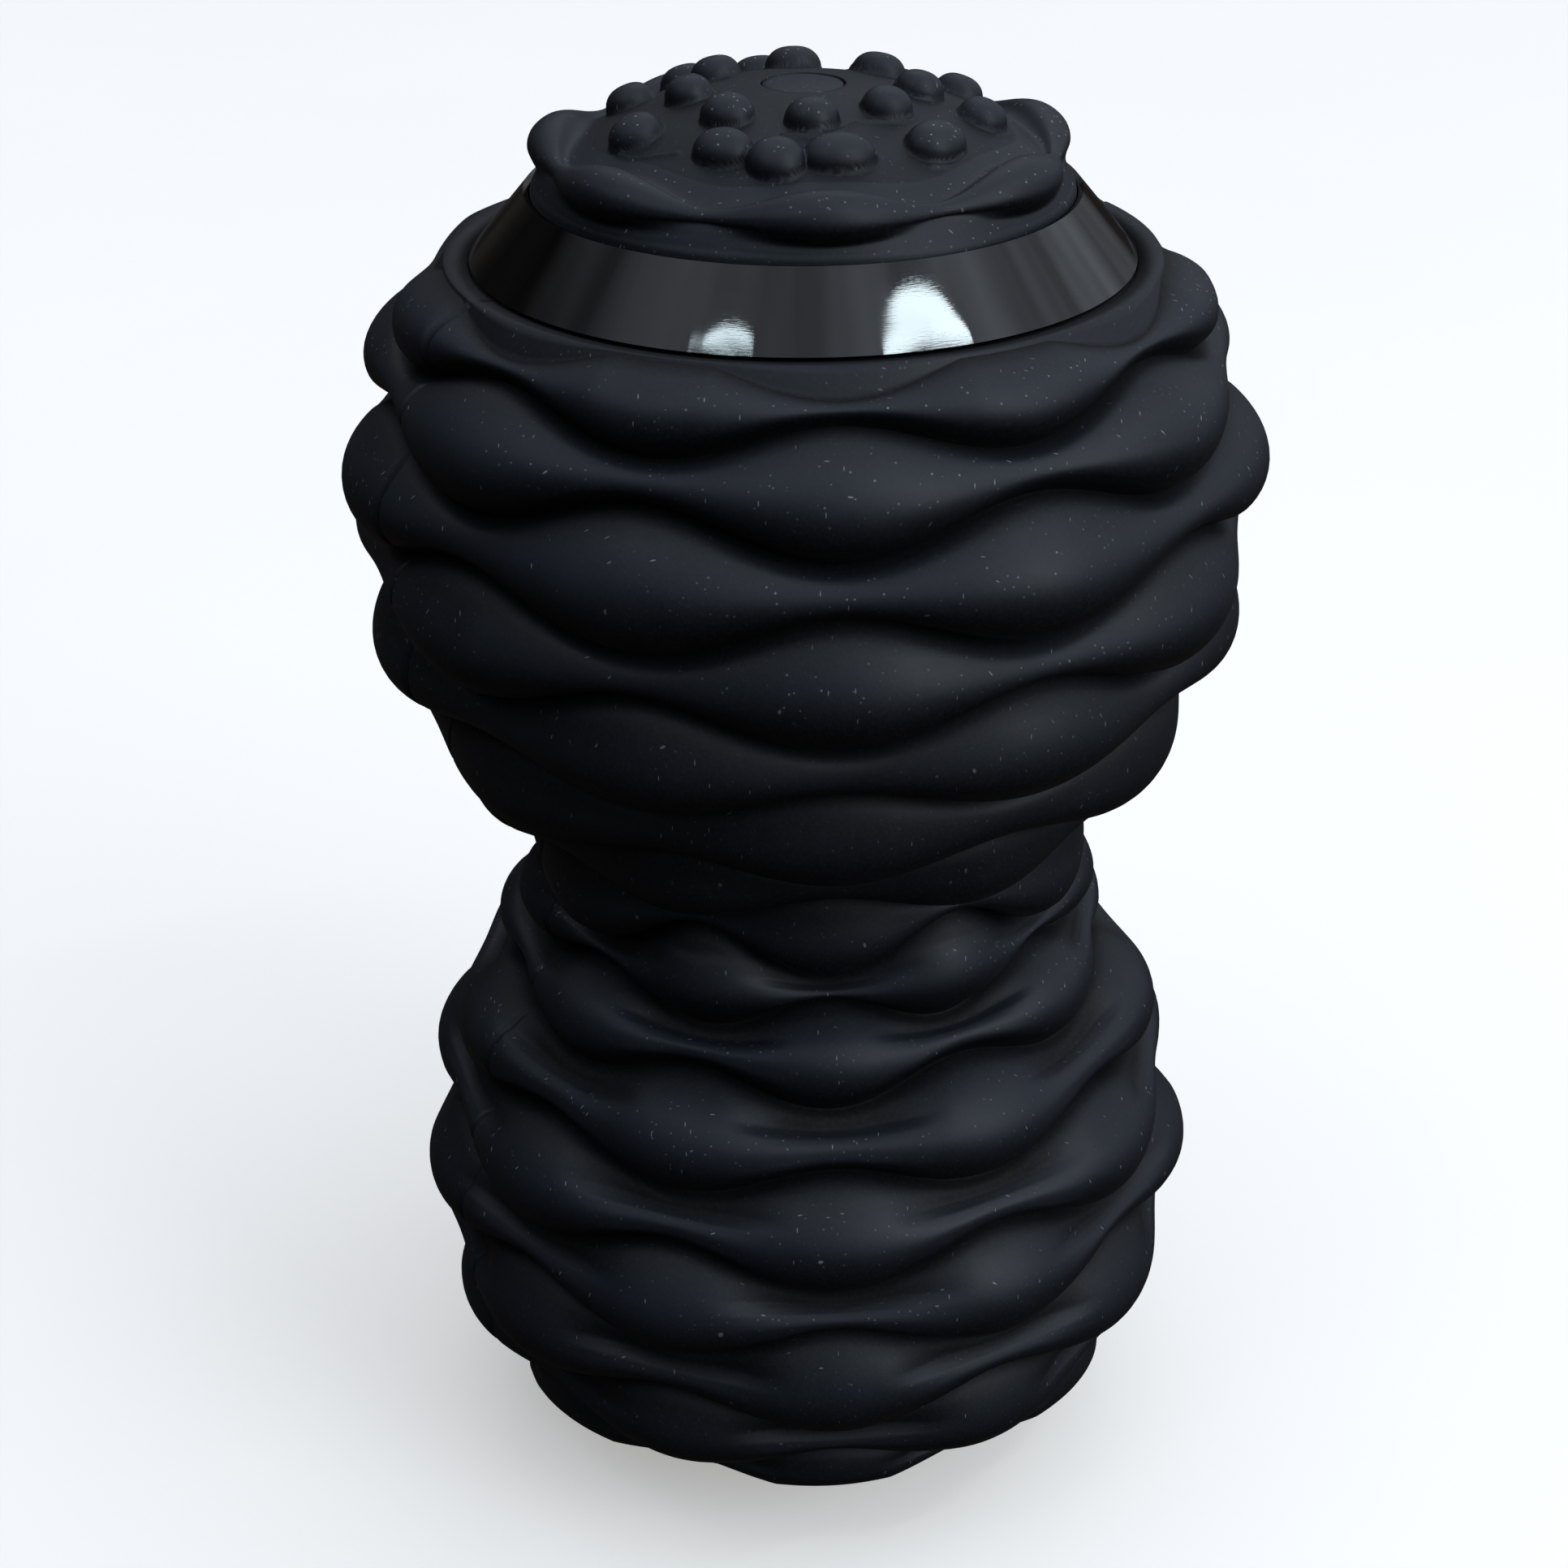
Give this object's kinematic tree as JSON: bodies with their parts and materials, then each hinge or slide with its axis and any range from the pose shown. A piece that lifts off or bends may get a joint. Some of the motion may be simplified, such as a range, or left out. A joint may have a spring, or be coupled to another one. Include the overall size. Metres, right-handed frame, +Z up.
{
  "type": "vibrating massage roller",
  "caption": "Two-lobed vibrating massage roller: a ridged black silicone sleeve over a hard core, with a domed control pad on top and a charge socket in its foot.",
  "frame": {"origin": "centre of the flat foot that the roller stands on", "axes": "+Z up along the roller towards the control pad, -Y towards the front"},
  "size_m": [0.0912, 0.0912, 0.1524],
  "materials": {
    "silicone": "matte moulded silicone",
    "gloss_trim": "polished black",
    "white_plastic": "satin",
    "core_plastic": "fine spark texture",
    "steel": "plated",
    "circuit_board": "solder mask over glass fibre",
    "black_component": "moulded",
    "led_lens": "clear lens",
    "cell_wrap": "shrink wrap",
    "nickel": "bright",
    "foam": "closed-cell foam",
    "zinc_steel": "zinc plated",
    "brass": "bright",
    "sintered_bronze": "oiled",
    "magnet": "sintered",
    "damper_rubber": "matte",
    "copper": "enamelled",
    "lead_insulation": "soft insulation"
  },
  "bodies": {
    "housing": {"silicone_sleeve": "silicone", "top_trim_ring": "gloss_trim", "bottom_trim_ring": "gloss_trim", "control_pad": "silicone", "foot_pad": "silicone", "shell_front": "core_plastic", "shell_back": "core_plastic", "shell_screws": "steel", "control_deck": "core_plastic", "deck_screws": "steel", "pad_support": "core_plastic", "bottom_end_frame": "core_plastic", "end_frame_screws": "steel", "control_board": "circuit_board", "board_screws": "steel", "switch_body": "black_component", "indicator_leds": "led_lens", "board_chips": "black_component", "charge_board": "circuit_board", "charge_board_screws": "steel", "charge_jack": "steel", "battery_cell_front": "cell_wrap", "battery_cell_back": "cell_wrap", "battery_tray": "core_plastic", "battery_contacts": "nickel", "battery_foam": "foam", "motor_can": "zinc_steel", "motor_end_cap": "black_component", "motor_terminals": "brass", "motor_bush_lower": "sintered_bronze", "motor_bush_upper": "sintered_bronze", "motor_magnets": "magnet", "motor_dampers": "damper_rubber", "motor_leads": "lead_insulation", "battery_leads": "lead_insulation", "charge_leads": "lead_insulation"},
    "rotor": {"motor_shaft": "steel", "armature_core": "zinc_steel", "armature_coils": "copper", "commutator": "copper", "lower_eccentric_weight": "zinc_steel", "upper_eccentric_weight": "zinc_steel", "weight_screws": "steel"},
    "button": {"power_button": "silicone", "button_plunger": "white_plastic"},
    "switch_stem": {"switch_stem": "white_plastic"},
    "port_flap": {"port_cover": "silicone"}
  },
  "joints": [
    {"name": "rotor_spin", "type": "hinge", "parent": "housing", "child": "rotor", "pos_m": [0, 0, 0.079], "axis": [0, 0, 1], "continuous": true},
    {"name": "button_press", "type": "slide", "parent": "housing", "child": "button", "axis": [0, 0, -1], "range_m": [0, 0.0006], "stiffness_N_per_m": 1500},
    {"name": "switch_press", "type": "slide", "parent": "housing", "child": "switch_stem", "axis": [0, 0, -1], "range_m": [0, 0.0006]},
    {"name": "port_cover_hinge", "type": "hinge", "parent": "housing", "child": "port_flap", "pos_m": [-0.0083, 0, 0.00105], "axis": [0, 1, 0], "range_deg": [0, 100], "stiffness_Nm_per_rad": 0.002}
  ],
  "couplings": [
    {"joint": "switch_press", "follows": "button_press", "ratio": 1}
  ]
}
